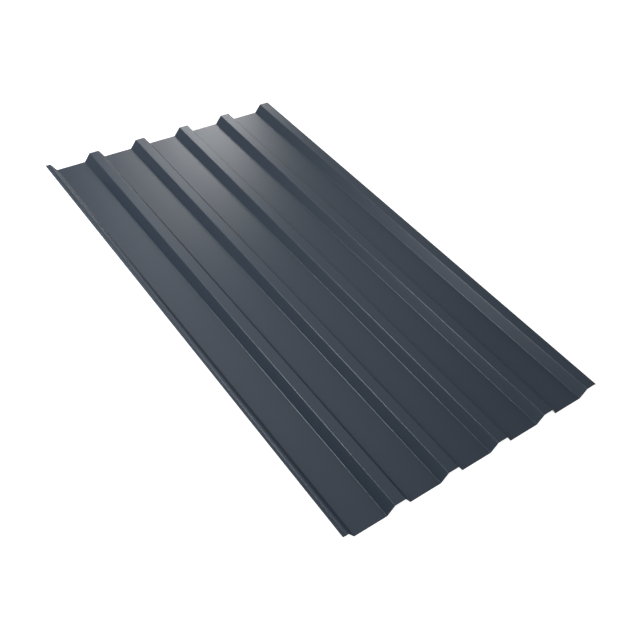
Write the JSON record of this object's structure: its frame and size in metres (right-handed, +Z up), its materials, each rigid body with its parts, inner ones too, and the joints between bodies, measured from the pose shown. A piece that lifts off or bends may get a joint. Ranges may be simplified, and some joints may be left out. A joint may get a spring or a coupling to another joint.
{
  "type": "trapezoidal corrugated metal sheet",
  "caption": "Roll-formed trapezoidal steel sheet with flat pans, raised ribs and lapping side edges, painted dark grey, for covering roofs and walls.",
  "frame": {"origin": "on the underside of the middle pan, at the middle of the cover width and of the length", "axes": "+X across the ribs towards the overlapping edge, +Y along the ribs, +Z up from the pans to the crowns"},
  "size_m": [1.0647, 2, 0.0355],
  "materials": {
    "painted_steel": "smooth satin coil coating, dark blue-grey"
  },
  "bodies": {
    "root": {"profiled_sheet": "painted_steel"}
  },
  "joints": []
}
